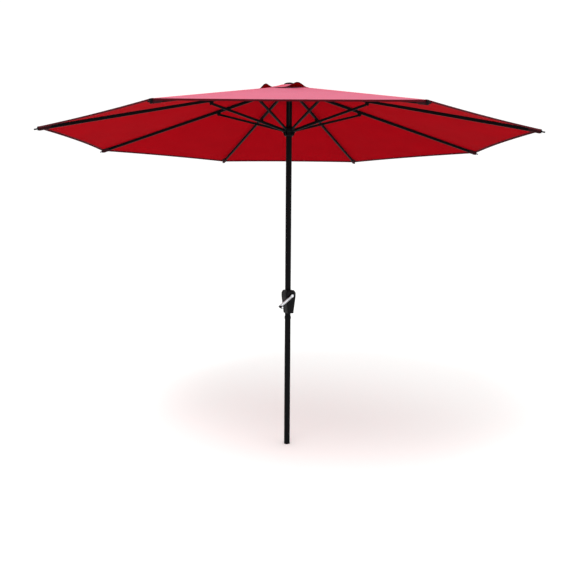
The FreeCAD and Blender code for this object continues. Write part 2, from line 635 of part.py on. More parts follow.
def make_crank():
    """The shaft, the drum that winds the cord, the brake spring, the pressed arm and its knob."""
    gap, plane = "dims.running_gap", "dims.arm_plane"
    shaft = rod("dims.crank_shaft_radius", f"{plane} + dims.arm_thickness + dims.shaft_tail", y="dims.shaft_tail",
                axis="Y")
    node("crank_shaft", crank_part(shaft))
    half = "dims.drum_length / 2"
    section = [("dims.crank_shaft_radius", f"-{half}"), ("dims.drum_radius", f"-{half}"),
               ("dims.drum_radius", f"-{half} + dims.drum_flange"),
               ("dims.drum_core_radius", f"-{half} + dims.drum_flange"),
               ("dims.drum_core_radius", f"{half} - dims.drum_flange"),
               ("dims.drum_radius", f"{half} - dims.drum_flange"), ("dims.drum_radius", half),
               ("dims.crank_shaft_radius", half)]
    drum = place(turned("drum_body", section), roll="90")
    node("cord_drum", crank_part(drum))
    windings = cut(rod("dims.drum_radius - dims.cord_radius", "dims.drum_length - 2 * dims.drum_flange",
                       y=f"{half} - dims.drum_flange", axis="Y"),
                   rod("dims.drum_core_radius", "dims.drum_length", y=half, axis="Y"))
    node("cord_windings", crank_part(windings))

    coil = doc.addObject("Part::Helix", "brake_helix")
    coil.setExpression("Pitch", "dims.brake_wire_radius * 2 + dims.brake_wire_gap")
    coil.setExpression("Height", "dims.brake_spring_length")
    coil.setExpression("Radius", "dims.brake_spring_radius")
    wire = doc.addObject("Part::Circle", "brake_wire")
    wire.setExpression("Radius", "dims.brake_wire_radius")
    place(wire, x="dims.brake_spring_radius", roll="90")
    spring = doc.addObject("Part::Sweep", "brake_sweep")
    spring.Sections = [wire]
    spring.Spine = (coil, [])
    spring.Solid = True
    spring.Frenet = True
    place(spring, y="-dims.pole_radius - dims.brake_spring_inset", roll="90")
    node("brake_spring", crank_part(spring))

    lip, wall, start = "dims.arm_lip", "dims.arm_lip_wall", "dims.arm_lip_start"
    arm = fuse(rod("dims.arm_hub_radius", "dims.arm_thickness", y=f"-{plane}", axis="Y"),
               rod("dims.arm_boss_wall", "dims.arm_boss", y=f"-{plane} + dims.arm_boss", axis="Y"),
               block("dims.arm_length", "dims.arm_thickness", "dims.arm_width", "0",
                     f"-{plane} - dims.arm_thickness", "-dims.arm_width / 2"),
               *[block(f"dims.arm_length - 2 * {start}", lip, wall, start, f"-{plane} - {lip}", low)
                 for low in (f"dims.arm_width / 2 - {wall}", "-dims.arm_width / 2")],
               rod("dims.arm_width / 2", "dims.arm_thickness", "dims.arm_length", f"-{plane}", axis="Y"))
    arm = place(cut(arm, rod("dims.crank_shaft_radius", "dims.arm_length", axis="Y"),
                    rod("dims.knob_pin_radius", "dims.arm_length", "dims.arm_length", axis="Y")),
                pitch="-dims.arm_angle")
    node("crank_arm", crank_part(arm))

    start, head = f"{plane} + dims.arm_thickness + {gap}", "dims.knob_pin_head_depth"
    x, z = "dims.arm_length * cos(dims.arm_angle)", "dims.arm_length * sin(dims.arm_angle)"
    pin = fuse(rod("dims.knob_pin_radius", f"dims.knob_length + dims.arm_thickness + 2 * {gap} + {head}", x,
                   f"-{plane}", z, "Y"),
               rod("dims.knob_pin_radius + dims.knob_pin_head", head, x, f"-({start} + dims.knob_length + {gap})",
                   z, "Y"))
    node("knob_pin", crank_part(pin))
    long, wide, bore = "dims.knob_length", "dims.knob_radius", "dims.knob_pin_radius + dims.shaft_play"
    waist, bend = "dims.knob_waist", "dims.knob_end_round"
    section = [(bore, "0"), (f"{wide} - {waist}", "0"), (f"{wide} - {waist} * 2 / 3", f"{long} / 4"),
               (wide, f"{long} * 3 / 5"), (wide, f"{long} - {bend}"), (f"{wide} - {bend} / 3", f"{long} - {bend} / 3"),
               (f"{wide} - {bend}", long), (bore, long)]
    knob = place(turned("knob_body", section), x, f"-({start})", z, roll="90")
    node("crank_knob", crank_part(knob))


# ---------------------------------------------------------------- fabric

def octagon(radius, height):
    item = doc.addObject("Part::RegularPolygon", "octagon")
    item.setExpression("Polygon", "dims.rib_count")
    item.setExpression("Circumradius", radius)
    return place(item, z=height, turn="dims.first_rib_azimuth")


def prism(radius, low, high):
    item = doc.addObject("Part::Prism", "prism")
    item.setExpression("Polygon", "dims.rib_count")
    item.setExpression("Circumradius", radius)
    item.setExpression("Height", f"{high} - ({low})")
    return place(item, z=low, turn="dims.first_rib_azimuth")


def pyramid_skin(inner, outer, rise):
    """A thin eight-sided skin, its corners rise above the ribs' centre lines, from one radius to another."""
    def height(radius, lift):
        slope = f"({radius} - dims.pivot_radius) * sin(dims.rib_tilt) / cos(dims.rib_tilt)"
        return f"dims.hub_height + {RIB_TOP} + {lift} - {slope}"

    margin = "dims.skin_margin"
    solids = []
    for lift in (f"{rise} + dims.canopy_thickness", rise):
        loft = doc.addObject("Part::Loft", "pyramid")
        loft.Sections = [octagon(f"({radius})", height(f"({radius})", lift))
                         for radius in (f"{outer} + {margin}", f"{inner} - {margin}")]
        loft.Solid = True
        loft.Ruled = True
        solids.append(loft)
    low, high = "dims.hub_height / 2", "dims.hub_height * 1.2"
    ring = cut(prism(outer, low, high), prism(inner, f"{low} - 1", f"{high} + 1"))
    return common(cut(*solids), ring)


def make_canopy():
    """The canopy as one panel about each rib, parted at mid-span, and the vent cap over its opening."""
    skin = pyramid_skin("dims.canopy_opening", "dims.canopy_corner", "dims.canopy_gap")
    for index in range(COUNT):
        sector = doc.addObject("Part::Cylinder", "sector")
        sector.setExpression("Radius", "dims.rib_length * 1.5")
        sector.setExpression("Height", "dims.hub_height")
        sector.setExpression("Angle", "360 / dims.rib_count - dims.panel_gap_angle")
        place(sector, z="dims.hub_height / 2",
              turn=f"{rib_azimuth(index)} - (360 / dims.rib_count - dims.panel_gap_angle) / 2")
        node(f"canopy_panel_{index + 1}", common(skin, sector))
    node("vent_canopy", pyramid_skin("dims.vent_neck", "dims.vent_reach", "dims.vent_rise"))


def check_and_write():
    """Stops on any failed object or bad shape, then writes one STEP file for each node."""
    doc.recompute()
    for item in doc.Objects:
        if {"Invalid", "Error"} & set(item.State):
            raise RuntimeError(f"{item.Label} failed: {item.State}")
    os.makedirs("parts", exist_ok=True)
    for item in nodes:
        shape = item.Shape
        if shape.isNull() or not shape.isValid() or not shape.Solids:
            raise RuntimeError(f"{item.Label} has no valid solid")
        shape.exportStep(os.path.join("parts", item.Label + ".step"))
    print(len(nodes), "nodes,", sum(len(item.Shape.Solids) for item in nodes), "solids")


make_pole()
make_hub()
make_pulley()
for rib in range(COUNT):
    make_rib(rib)
    make_strut(rib)
make_runner()
make_cord()
make_housing()
make_crank()
make_canopy()
check_and_write()
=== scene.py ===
"""A crank-lift patio umbrella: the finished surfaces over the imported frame, laid out as a Blender add-on.

All lengths are metres in the row's own frame: the middle of the pole's foot is the origin and +Z points up.
"""

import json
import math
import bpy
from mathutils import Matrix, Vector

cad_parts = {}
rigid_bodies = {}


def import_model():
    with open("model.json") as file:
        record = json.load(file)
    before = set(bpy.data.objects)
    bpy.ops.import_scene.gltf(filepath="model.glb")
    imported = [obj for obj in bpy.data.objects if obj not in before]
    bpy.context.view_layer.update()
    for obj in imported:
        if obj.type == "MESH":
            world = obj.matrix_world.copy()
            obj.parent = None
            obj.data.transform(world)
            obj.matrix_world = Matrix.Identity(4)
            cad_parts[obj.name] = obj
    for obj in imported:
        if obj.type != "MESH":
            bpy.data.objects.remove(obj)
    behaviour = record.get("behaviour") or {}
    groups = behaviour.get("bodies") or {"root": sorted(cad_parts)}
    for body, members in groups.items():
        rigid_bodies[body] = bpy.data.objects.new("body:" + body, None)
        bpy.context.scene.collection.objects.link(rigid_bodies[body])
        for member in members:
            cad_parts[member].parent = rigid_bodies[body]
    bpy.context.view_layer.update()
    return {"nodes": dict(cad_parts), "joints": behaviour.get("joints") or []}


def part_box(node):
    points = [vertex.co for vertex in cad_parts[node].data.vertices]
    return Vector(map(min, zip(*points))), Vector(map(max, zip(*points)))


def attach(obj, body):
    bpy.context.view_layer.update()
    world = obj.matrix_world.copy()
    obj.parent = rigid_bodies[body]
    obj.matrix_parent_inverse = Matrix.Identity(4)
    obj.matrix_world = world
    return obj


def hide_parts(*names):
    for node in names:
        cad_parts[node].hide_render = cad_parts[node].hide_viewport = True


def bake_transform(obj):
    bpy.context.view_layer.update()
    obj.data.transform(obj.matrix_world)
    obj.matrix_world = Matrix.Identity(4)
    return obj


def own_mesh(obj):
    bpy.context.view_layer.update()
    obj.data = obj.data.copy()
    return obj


bl_info = {
    "name": "Patio Umbrella",
    "version": (1, 0, 0),
    "blender": (4, 5, 0),
    "location": "3D View > Sidebar > Umbrella",
    "description": "Builds the cloth, fittings and finishes of a crank-lift patio umbrella",
    "category": "Add Mesh",
}

import bpy
from mathutils import Matrix, Vector

for leftover in list(bpy.data.objects):
    bpy.data.objects.remove(leftover)
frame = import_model()
JOINTS = {joint["name"]: joint for joint in frame["joints"]}
NODES = frame["nodes"]

MM = 0.001
RIBS = 8
STEP = 2 * math.pi / RIBS
HALF = STEP / 2
HUB_PIN = Vector(JOINTS["canopy_fold"]["pos_m"])
FIRST_RIB = math.atan2(HUB_PIN.y, HUB_PIN.x)
PIVOT_RADIUS = HUB_PIN.xy.length
RIVET = Vector(JOINTS["strut_hinge_1"]["pos_m"])
RUNNER_PIN = Vector(JOINTS["runner_hinge"]["pos_m"])
FOLD_ANGLE = math.radians(JOINTS["canopy_fold"]["range_deg"][1])
CLOTH_LOW, CLOTH_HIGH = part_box("canopy_panel_1")
VENT_LOW, VENT_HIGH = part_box("vent_canopy")
CLOTH_THICK = 0.8 * MM
OPENING = 205 * MM
RIM = -CLOTH_LOW.y / math.cos(HALF)
RIM_HEIGHT = CLOTH_LOW.z + CLOTH_THICK
SLOPE = (CLOTH_HIGH.z - RIM_HEIGHT) / (RIM - OPENING)
RIB_TILT = math.atan(SLOPE)
VENT_NECK = 34 * MM
VENT_RIM = VENT_HIGH.x / math.cos(HALF)
CAP_HEIGHT = 13 * MM
RIVET_START = 7.4 * MM
POCKET_DEPTH = 20.5 * MM
GORE_STATIONS = 46
VENT_SEAM_STATIONS = 18

CAMERA_PLACE = (0, -3.904, 1.543)
CAMERA_YAW, CAMERA_PITCH, CAMERA_ROLL = 0.005, 0.1156, 0.0063
LENS_LENGTH, SENSOR_WIDTH = 37.40, 36
LAMP_TARGET = Vector((0, 0, 1.4))
WORLD_STRENGTH = 1.05
FLOOR_RADIUS = 40


# ---------------------------------------------------------------- sizes and colours

def linear(text):
    """A colour written as sRGB hex, turned to the linear values that shaders use."""
    parts = [int(text[i:i + 2], 16) / 255 for i in (1, 3, 5)]
    return tuple(part / 12.92 if part <= 0.04045 else ((part + 0.055) / 1.055) ** 2.4 for part in parts)


def length(name, text, value, low=0.0, high=1.0):
    return bpy.props.FloatProperty(name=name, description=text, default=value * MM, min=low, max=high,
                                   unit="LENGTH", subtype="DISTANCE")


def colour(name, text, value):
    return bpy.props.FloatVectorProperty(name=name, description=text, default=linear(value), size=3,
                                         min=0.0, max=1.0, subtype="COLOR")


class UmbrellaSizes(bpy.types.PropertyGroup):
    """The sizes of the sewn and moulded pieces that the frame doesn't set."""
    seam_width: length("Seam width", "Width of the felled seam over each rib", 18)
    vent_seam_width: length("Vent seam width", "Width of the felled seam on the vent cap", 12)
    seam_rise: length("Seam rise", "How far the folded seam stands above the cloth", 0.7)
    sag: length("Sag", "How far the cloth hangs below a flat facet between two ribs", 9)
    scallop: length("Scallop", "How far the hem curves in between two rib tips", 20)
    ripple: length("Ripple", "Height of the soft waves in the stretched cloth", 1.6)
    hem_width: length("Hem binding", "Width of the tape folded over the canopy's edge", 13)
    hem_roll: length("Rolled hem", "How far the canopy's rolled hem hangs below the cloth", 6.5)
    vent_hem_width: length("Vent binding", "Width of the tape folded over the vent cap's edge", 9)
    vent_lift: length("Vent curl", "How far the vent cap's edge curls up between two ribs", 26)
    vent_drop: length("Vent drop", "How far the vent cap is drawn down towards the canopy", 9.5)
    pocket_width: length("Pocket width", "Width of the sewn pocket that holds a rib's tip", 52)
    pocket_length: length("Pocket length", "Length of the sewn pocket along the rib", 64)
    moulded_edge: length("Moulded edge", "Rounding on the edges of the moulded pieces", 1.2)
    pressed_edge: length("Pressed edge", "Rounding on the edges of the pressed and drawn steel", 0.5)
    fold_keep: bpy.props.FloatProperty(name="Folded share", default=0.03, min=0.01, max=1.0, subtype="FACTOR",
                                       description="How much of its width each half gore keeps when closed")


class UmbrellaColours(bpy.types.PropertyGroup):
    """The colours of the finishes."""
    cloth: colour("Cloth", "Dyed polyester canopy cloth", "#B4082B")
    # painted shade: the cloth's inner face gets a darker red than its outer face, standing for the shade under
    # the canopy
    lining_painted_shade: colour("Backing", "Dull backing on the cloth's inner face", "#A20010")
    thread: colour("Thread", "Sewing thread on the seams and hems", "#8E1426")
    # painted shade: the hem tape's red is far darker than the cloth's, standing for light that doesn't come
    # through it
    binding: colour("Binding", "Tape folded over the hems", "#480410")
    webbing: colour("Webbing", "Corner pockets", "#2A0910")
    coat: colour("Powder coat", "Powder coat on the pole, ribs and struts", "#0E0E10")
    nylon: colour("Nylon", "Hub, runner, cap and rib tips", "#0B0B0D")
    casing: colour("Casing", "Crank casing", "#0D0D0F")
    zinc: colour("Zinc", "Zinc plate on the crank arm, pins and screws", "#C4C6CA")
    cord: colour("Cord", "Braided lift cord", "#1A1A1C")
    floor: colour("Floor", "Studio floor", "#FEFEFD")


# ---------------------------------------------------------------- small tools

def deselect():
    """Leaves object mode with nothing selected, because the loaded frame is selected all over."""
    if bpy.context.object and bpy.context.object.mode != "OBJECT":
        bpy.ops.object.mode_set(mode="OBJECT")
    bpy.ops.object.select_all(action="DESELECT")


def choose(piece):
    """Makes a piece the only selected one and the active one."""
    deselect()
    piece.select_set(True)
    bpy.context.view_layer.objects.active = piece


def apply_modifier(piece, kind, **settings):
    choose(piece)
    modifier = piece.modifiers.new(kind.title(), kind)
    for name, value in settings.items():
        setattr(modifier, name, value)
    bpy.ops.object.modifier_apply(modifier=modifier.name)


def smooth(piece, angle=35):
    choose(piece)
    bpy.ops.object.shade_smooth_by_angle(angle=math.radians(angle))


def settle(piece):
    """Moves a piece's place into its mesh, so that its object stands at the origin, unturned and unscaled."""
    choose(piece)
    bpy.ops.object.transform_apply(location=True, rotation=True, scale=True)


def outward(piece):
    """Merges doubles and turns every face outwards."""
    choose(piece)
    bpy.ops.object.mode_set(mode="EDIT")
    bpy.ops.mesh.select_all(action="SELECT")
    bpy.ops.mesh.remove_doubles(threshold=0.01 * MM)
    bpy.ops.mesh.normals_make_consistent(inside=False)
    bpy.ops.object.mode_set(mode="OBJECT")


def azimuth(rib):
    return FIRST_RIB + rib * STEP


def finish_piece(piece, body, material, replaced=()):
    """Gives a piece its finish and its place in the frame. Lined cloth already has its two finishes."""
    if material:
        piece.data.materials.clear()
        piece.data.materials.append(material)
    if body:
        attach(piece, body)
    if replaced:
        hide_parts(*replaced)
    return piece


def paint(names, material):
    """Gives CAD nodes that keep their shape a better finish."""
    for name in names:
        for holder in NODES[name].material_slots:
            holder.material = material


def copy_turned(piece, name, angle):
    """A copy of a piece with its own mesh, turned about the pole."""
    twin = piece.copy()
    twin.data = piece.data.copy()
    twin.name = name
    bpy.context.scene.collection.objects.link(twin)
    twin.data.transform(Matrix.Rotation(angle, 4, "Z"))
    return twin


def refined(node, name, edge, segments=2, angle=40):
    """A copy of a CAD node with its loose triangles merged and its edges rounded."""
    piece = NODES[node].copy()
    piece.data = NODES[node].data.copy()
    piece.name = name
    piece.parent = None
    for key in list(piece.keys()):
        del piece[key]
    bpy.context.scene.collection.objects.link(piece)
    choose(piece)
    bpy.ops.object.mode_set(mode="EDIT")
    bpy.ops.mesh.select_all(action="SELECT")
    bpy.ops.mesh.remove_doubles(threshold=0.01 * MM)
    bpy.ops.mesh.dissolve_limited(angle_limit=math.radians(0.5))
    bpy.ops.object.mode_set(mode="OBJECT")
    apply_modifier(piece, "BEVEL", width=edge, segments=segments, limit_method="ANGLE",
                   angle_limit=math.radians(angle), use_clamp_overlap=True)
    smooth(piece)
    return piece


def turned(name, profile, sides=64):
    """A piece turned about Z: a circle drawn up through (radius, height) pairs, closed at both ends."""
    deselect()
    radius, height = profile[0]
    bpy.ops.mesh.primitive_circle_add(vertices=sides, radius=radius, fill_type="NGON",
                                      location=(0, 0, height))
    piece = bpy.context.object
    piece.name = name
    settle(piece)
    bpy.ops.object.mode_set(mode="EDIT")
    bpy.ops.mesh.select_all(action="SELECT")
    for wide, high in profile[1:]:
        bpy.ops.mesh.extrude_region_move(TRANSFORM_OT_translate={"value": (0, 0, high - height)})
        scale = wide / radius
        bpy.ops.transform.resize(value=(scale, scale, 1), center_override=(0, 0, high))
        radius, height = wide, high
    bpy.ops.object.mode_set(mode="OBJECT")
    outward(piece)
    return piece


def join(pieces):
    """Joins pieces into the first one."""
    deselect()
    for piece in pieces:
        piece.select_set(True)
    bpy.context.view_layer.objects.active = pieces[0]
    bpy.ops.object.join()
    return pieces[0]


def lay_sheet(name, rows, flat_rows, closed=False):
    """A sheet through rows of points, with its flat cut in metres as its UV map. A closed one is a tube."""
    across = len(rows[0])
    steps = across if closed else across - 1
    faces = []
    corners = []
    for i in range(len(rows) - 1):
        for j in range(steps):
            k = (j + 1) % across
            faces.append((i * across + j, i * across + k, (i + 1) * across + k, (i + 1) * across + j))
            corners += [flat_rows[i][j], flat_rows[i][j + 1], flat_rows[i + 1][j + 1], flat_rows[i + 1][j]]
    if closed:
        last = (len(rows) - 1) * across
        faces += [tuple(range(across - 1, -1, -1)), tuple(range(last, last + across))]
        corners += [flat_rows[0][j] for j in range(across - 1, -1, -1)]
        corners += [flat_rows[-1][j] for j in range(across)]
    mesh = bpy.data.meshes.new(name)
    mesh.from_pydata([point for row in rows for point in row], [], faces)
    layer = mesh.uv_layers.new(name="cut")
    for loop, corner in zip(layer.data, corners):
        loop.uv = corner
    mesh.polygons.foreach_set("use_smooth", [True] * len(mesh.polygons))
    piece = bpy.data.objects.new(name, mesh)
    bpy.context.scene.collection.objects.link(piece)
    return piece


# ---------------------------------------------------------------- finishes

def add_node(tree, kind, settings=(), links=()):
    """Adds one node with its settings, by property or input name, and its incoming links."""
    node = tree.nodes.new(kind)
    for name, value in dict(settings).items():
        if isinstance(name, str) and hasattr(node, name):
            setattr(node, name, value)
        else:
            node.inputs[name].default_value = value
    for name, socket in dict(links).items():
        tree.links.new(socket, node.inputs[name])
    return node


def blank_material(name):
    material = bpy.data.materials.new(name)
    material.use_nodes = True
    material.node_tree.nodes.clear()
    return material, material.node_tree


def shade(tree, base, linked=(), **settings):
    """The main shader with its linked inputs, the base colour linked or set, and the output after it."""
    links = dict(linked)
    if hasattr(base, "is_linked"):
        links["Base Color"] = base
    else:
        settings["Base Color"] = base
    shader = add_node(tree, "ShaderNodeBsdfPrincipled", settings, links)
    add_node(tree, "ShaderNodeOutputMaterial", {}, {"Surface": shader.outputs["BSDF"]})


def between(tree, share, low, high):
    """A colour that runs from low to high as share goes from 0 to 1."""
    mix = add_node(tree, "ShaderNodeMix", {"data_type": "RGBA", 6: (*low, 1), 7: (*high, 1)}, {0: share})
    return mix.outputs[2]


def noise(tree, where, size, detail):
    """Cloudy noise whose features are about that size."""
    cloud = add_node(tree, "ShaderNodeTexNoise", {"Scale": 1 / size, "Detail": detail}, {"Vector": where})
    return cloud.outputs["Fac"]


def maths(tree, operation, *inputs):
    """One step of arithmetic on numbers and sockets."""
    numbers = {i: value for i, value in enumerate(inputs) if isinstance(value, (int, float))}
    sockets = {i: value for i, value in enumerate(inputs) if i not in numbers}
    return add_node(tree, "ShaderNodeMath", {"operation": operation, **numbers}, sockets).outputs[0]


def remap(tree, value, end, low, high):
    """Stretches a value. The end is From when low and high bound what goes in, and To for what comes out."""
    ranges = {f"{end} Min": low, f"{end} Max": high}
    return add_node(tree, "ShaderNodeMapRange", ranges, {"Value": value}).outputs["Result"]


def raised(tree, height, strength, distance):
    """The bumped normal of a height."""
    return add_node(tree, "ShaderNodeBump", {"Strength": strength, "Distance": distance},
                    {"Height": height}).outputs["Normal"]


def dim(tint, share):
    return tuple(part * share for part in tint)


def powder_coat(colours):
    """Powder coat on steel tube: polymer baked on as dry dust, so an even satin black with faint orange peel."""
    material, tree = blank_material("powder_coated_steel")
    where = add_node(tree, "ShaderNodeTexCoord").outputs["Object"]
    # the peel's real waves are about 0.8 mm, drawn at 2.5 mm so that they show
    peel = noise(tree, where, 2.5 * MM, 2.0)
    # handling leaves broad, slightly duller patches about 60 mm across
    patches = noise(tree, where, 60 * MM, 3.0)
    tint = between(tree, patches, dim(colours.coat, 0.8), dim(colours.coat, 1.3))
    linked = {"Roughness": remap(tree, patches, "To", 0.42, 0.58),
              "Normal": raised(tree, peel, 0.12, 0.1 * MM)}
    shade(tree, tint, linked, **{"Specular IOR Level": 0.03, "IOR": 1.5})
    return material


def moulded_plastic(name, tint, rough, grain):
    """Injection-moulded plastic: the mould's spark-eroded face leaves a fine grain and a soft, broad sheen."""
    material, tree = blank_material(name)
    where = add_node(tree, "ShaderNodeTexCoord").outputs["Object"]
    pits = noise(tree, where, grain, 3.0)
    flow = noise(tree, where, 30 * MM, 2.0)
    shades = between(tree, flow, dim(tint, 0.75), dim(tint, 1.35))
    linked = {"Roughness": remap(tree, flow, "To", rough - 0.06, rough + 0.08),
              "Normal": raised(tree, pits, 0.3, 0.12 * MM)}
    shade(tree, shades, linked, **{"Specular IOR Level": 0.05, "IOR": 1.5})
    return material


def zinc_plate(colours):
    """Bright zinc plate on pressed steel: a thin crystalline skin, so pale grey, drawn marks and soft glints."""
    material, tree = blank_material("bright_zinc_plate")
    where = add_node(tree, "ShaderNodeTexCoord").outputs["Object"]
    # drawing and tumbling marks, 1 mm apart and 12 mm long
    stretch = add_node(tree, "ShaderNodeMapping", {"Scale": (1 / (1 * MM), 1 / (1 * MM), 1 / (12 * MM))},
                       {"Vector": where})
    marks = noise(tree, stretch.outputs[0], 1.0, 3.0)
    bloom = noise(tree, where, 9 * MM, 4.0)
    tint = between(tree, bloom, dim(colours.zinc, 0.72), colours.zinc)
    linked = {"Roughness": remap(tree, marks, "To", 0.22, 0.42),
              "Normal": raised(tree, marks, 0.15, 0.05 * MM)}
    shade(tree, tint, linked, Metallic=1.0)
    return material


def weave(tree, where, pitch):
    """The height of a plain weave: warp and weft cross over and under, one thread each pitch."""
    threads = []
    for direction in ("X", "Y"):
        wave = add_node(tree, "ShaderNodeTexWave", {"bands_direction": direction, "wave_profile": "SIN",
                                                   "Scale": math.pi / (10 * pitch), "Distortion": 0.4,
                                                   "Detail": 1.0, "Detail Scale": 2.0}, {"Vector": where})
        threads.append(wave.outputs["Fac"])
    return maths(tree, "MULTIPLY", *threads)


def canopy_cloth(name, tint_now, glossy):
    """Spun-dyed polyester: a close plain weave, so a deep flat red and a glow where daylight comes through.

    The outer face is calendered smooth, so it turns pale at a low angle. The inner one has a dull backing, and
    is given a darker red than the outer face as painted shade under the canopy.
    """
    material, tree = blank_material(name)
    where = add_node(tree, "ShaderNodeUVMap", {"uv_map": "cut"}).outputs["UV"]
    # the threads are 0.45 mm apart, drawn at 2 mm so that they show
    cloth = weave(tree, where, 2 * MM)
    # uneven yarn shows as faint streaks along the warp, about 6 mm wide and 200 mm long
    drawn = add_node(tree, "ShaderNodeMapping", {"Scale": (1 / (6 * MM), 1 / (200 * MM), 1)},
                     {"Vector": where})
    streaks = noise(tree, drawn.outputs[0], 1.0, 2.0)
    # sun and rain leave broad, faint clouds about 250 mm across
    clouds = noise(tree, where, 0.25, 3.0)
    share = remap(tree, maths(tree, "ADD", streaks, clouds), "From", 0.6, 1.4)
    tint = between(tree, share, dim(tint_now, 0.9), dim(tint_now, 1.08))
    normal = raised(tree, maths(tree, "MULTIPLY_ADD", cloth, 0.6, streaks), 0.25, 0.2 * MM)
    front = add_node(tree, "ShaderNodeBsdfPrincipled",
                     {"Roughness": 0.62 if glossy else 0.9, "Specular IOR Level": 0.5 if glossy else 0.02,
                      "IOR": 1.5, "Sheen Weight": 0.4 if glossy else 0.0, "Sheen Roughness": 0.35,
                      "Sheen Tint": (1.0, 0.62, 1.0, 1.0)},
                     {"Base Color": tint, "Normal": normal})
    glow = add_node(tree, "ShaderNodeBsdfTranslucent", {}, {"Color": tint, "Normal": normal})
    through = add_node(tree, "ShaderNodeMixShader", {0: 0.3}, {1: front.outputs[0], 2: glow.outputs[0]})
    add_node(tree, "ShaderNodeOutputMaterial", {}, {"Surface": through.outputs[0]})
    return material


def sewn_tape(name, tint, thread, rows, rough=0.8):
    """Folded and sewn polyester, with lockstitch dashes: doubled cloth lets no light through, and the hem
    binding's dark colour is painted shade standing in for that.

    Rows are the places of the stitching across the tape, in metres. A stitch is 4 mm long and 1 mm wide.
    """
    material, tree = blank_material(name)
    where = add_node(tree, "ShaderNodeUVMap", {"uv_map": "cut"}).outputs["UV"]
    cloth = weave(tree, where, 1.6 * MM)
    parts = add_node(tree, "ShaderNodeSeparateXYZ", {}, {"Vector": where})
    total = None
    for row in rows:
        gap = maths(tree, "ABSOLUTE", maths(tree, "SUBTRACT", parts.outputs["X"], row))
        inside = maths(tree, "LESS_THAN", gap, 0.5 * MM)
        total = inside if total is None else maths(tree, "MAXIMUM", total, inside)
    phase = maths(tree, "FRACT", maths(tree, "MULTIPLY", parts.outputs["Y"], 1 / (5 * MM)))
    stitch = maths(tree, "MULTIPLY", total, maths(tree, "LESS_THAN", phase, 0.78))
    normal = raised(tree, maths(tree, "MULTIPLY_ADD", stitch, 2.0, cloth), 0.4, 0.3 * MM)
    shade(tree, between(tree, stitch, tint, thread), {"Normal": normal},
          **{"Roughness": rough, "Specular IOR Level": 0.06, "Sheen Weight": 0.02, "Sheen Roughness": 0.4})
    return material


def braided_cord(colours):
    """Braided polyester cord: eight strands cross on the bias, so small lozenges, painted shade in the grooves
    between them, and a soft, dry lustre.
    """
    material, tree = blank_material("braided_polyester")
    where = add_node(tree, "ShaderNodeUVMap", {"uv_map": "cut"}).outputs["UV"]
    parts = add_node(tree, "ShaderNodeSeparateXYZ", {}, {"Vector": where})
    lines = []
    for lean in (1, -1):
        # strands repeat 4 times round the cord and every 5 mm along it
        turn = maths(tree, "MULTIPLY", parts.outputs["X"], lean * 8 * math.pi)
        along = maths(tree, "MULTIPLY_ADD", parts.outputs["Y"], 2 * math.pi / (5 * MM), turn)
        lines.append(maths(tree, "SINE", along))
    share = remap(tree, maths(tree, "MULTIPLY", *lines), "From", -1.0, 1.0)
    # painted shade: the colour darkens to 55% in the grooves between strands, where the bump sinks
    tint = between(tree, share, dim(colours.cord, 0.55), colours.cord)
    shade(tree, tint, {"Normal": raised(tree, share, 0.5, 0.2 * MM)},
          **{"Roughness": 0.75, "Specular IOR Level": 0.3})
    return material


def finish(name):
    """The finish of that name, made once."""
    made = bpy.data.materials.get(name)
    if made:
        return made
    colours = bpy.context.scene.umbrella_colours
    cloth, thread, binding = tuple(colours.cloth), tuple(colours.thread), tuple(colours.binding)
    makers = {
        "powder_coated_steel": lambda: powder_coat(colours),
        "bright_zinc_plate": lambda: zinc_plate(colours),
        "spun_polyester": lambda: canopy_cloth(name, cloth, True),
        # the inner face's darker red is painted shade under the canopy
        "backed_polyester_painted_shade": lambda: canopy_cloth(name, tuple(colours.lining_painted_shade), False),
        "braided_polyester": lambda: braided_cord(colours),
        "glass_filled_nylon": lambda: moulded_plastic(name, tuple(colours.nylon), 0.46, 1.2 * MM),
        "textured_abs": lambda: moulded_plastic(name, tuple(colours.casing), 0.4, 0.9 * MM),
        "felled_seam": lambda: sewn_tape(name, cloth, thread, (3 * MM, 15 * MM)),
        "vent_felled_seam": lambda: sewn_tape(name, cloth, thread, (2.5 * MM, 9.5 * MM)),
        # the hem binding's dark colour is painted shade; the pockets' thread gets the same colour
        "hem_binding_painted_shade": lambda: sewn_tape(name, binding, thread, (3 * MM,)),
        "pocket_webbing": lambda: sewn_tape(name, tuple(colours.webbing), binding, (3 * MM, 49 * MM), 0.7),
    }
    return makers[name]()


# ---------------------------------------------------------------- the canopy's shape

def cloth_height(radius):
    """The height of the cloth's upper face over a rib line, at the radius of the rib line."""
    return RIM_HEIGHT + (RIM - radius) * SLOPE


def gore_point(rib, side, radius, share, lift):
    """A point on the facet beside a rib: share 0 is the rib's line and 1 is half way to the next rib."""
    middle = azimuth(rib) + side * HALF
    out = Vector((math.cos(middle), math.sin(middle), 0))
    along = Vector((-math.sin(middle), math.cos(middle), 0))
    return (out * radius * math.cos(HALF) - along * side * (1 - share) * radius * math.sin(HALF)
            + Vector((0, 0, cloth_height(radius) + lift)))


def ease(value):
    value = min(1.0, max(0.0, value))
    return value * value * (3 - 2 * value)


def wave_height(rib, side, along, share):
    """Soft waves of the stretched cloth, the same from both sides of the line between two ribs."""
    facet = rib if side > 0 else rib - 1
    across = -side * (1 - share)
    phase = 1.7 * (facet % RIBS)
    broad = math.sin(4.4 * math.pi * along + 1.3 * across + phase)
    cross = math.sin(7.0 * across + 3.0 * along + 2.3 * phase)
    fans = 0.0
    for corner in (-1, 1):
        down, sideways = 1.02 - along, abs(across - corner)
        reach = math.hypot(down, 0.7 * sideways)
        fan = math.atan2(sideways, down + 0.001)
        fans += math.sin(11 * fan + phase) * math.exp(-3.2 * reach) * ease(reach / 0.15)
    return (1 - across * across) * (0.35 * broad + 0.35 * cross) + 0.9 * (1 - across * across) * fans


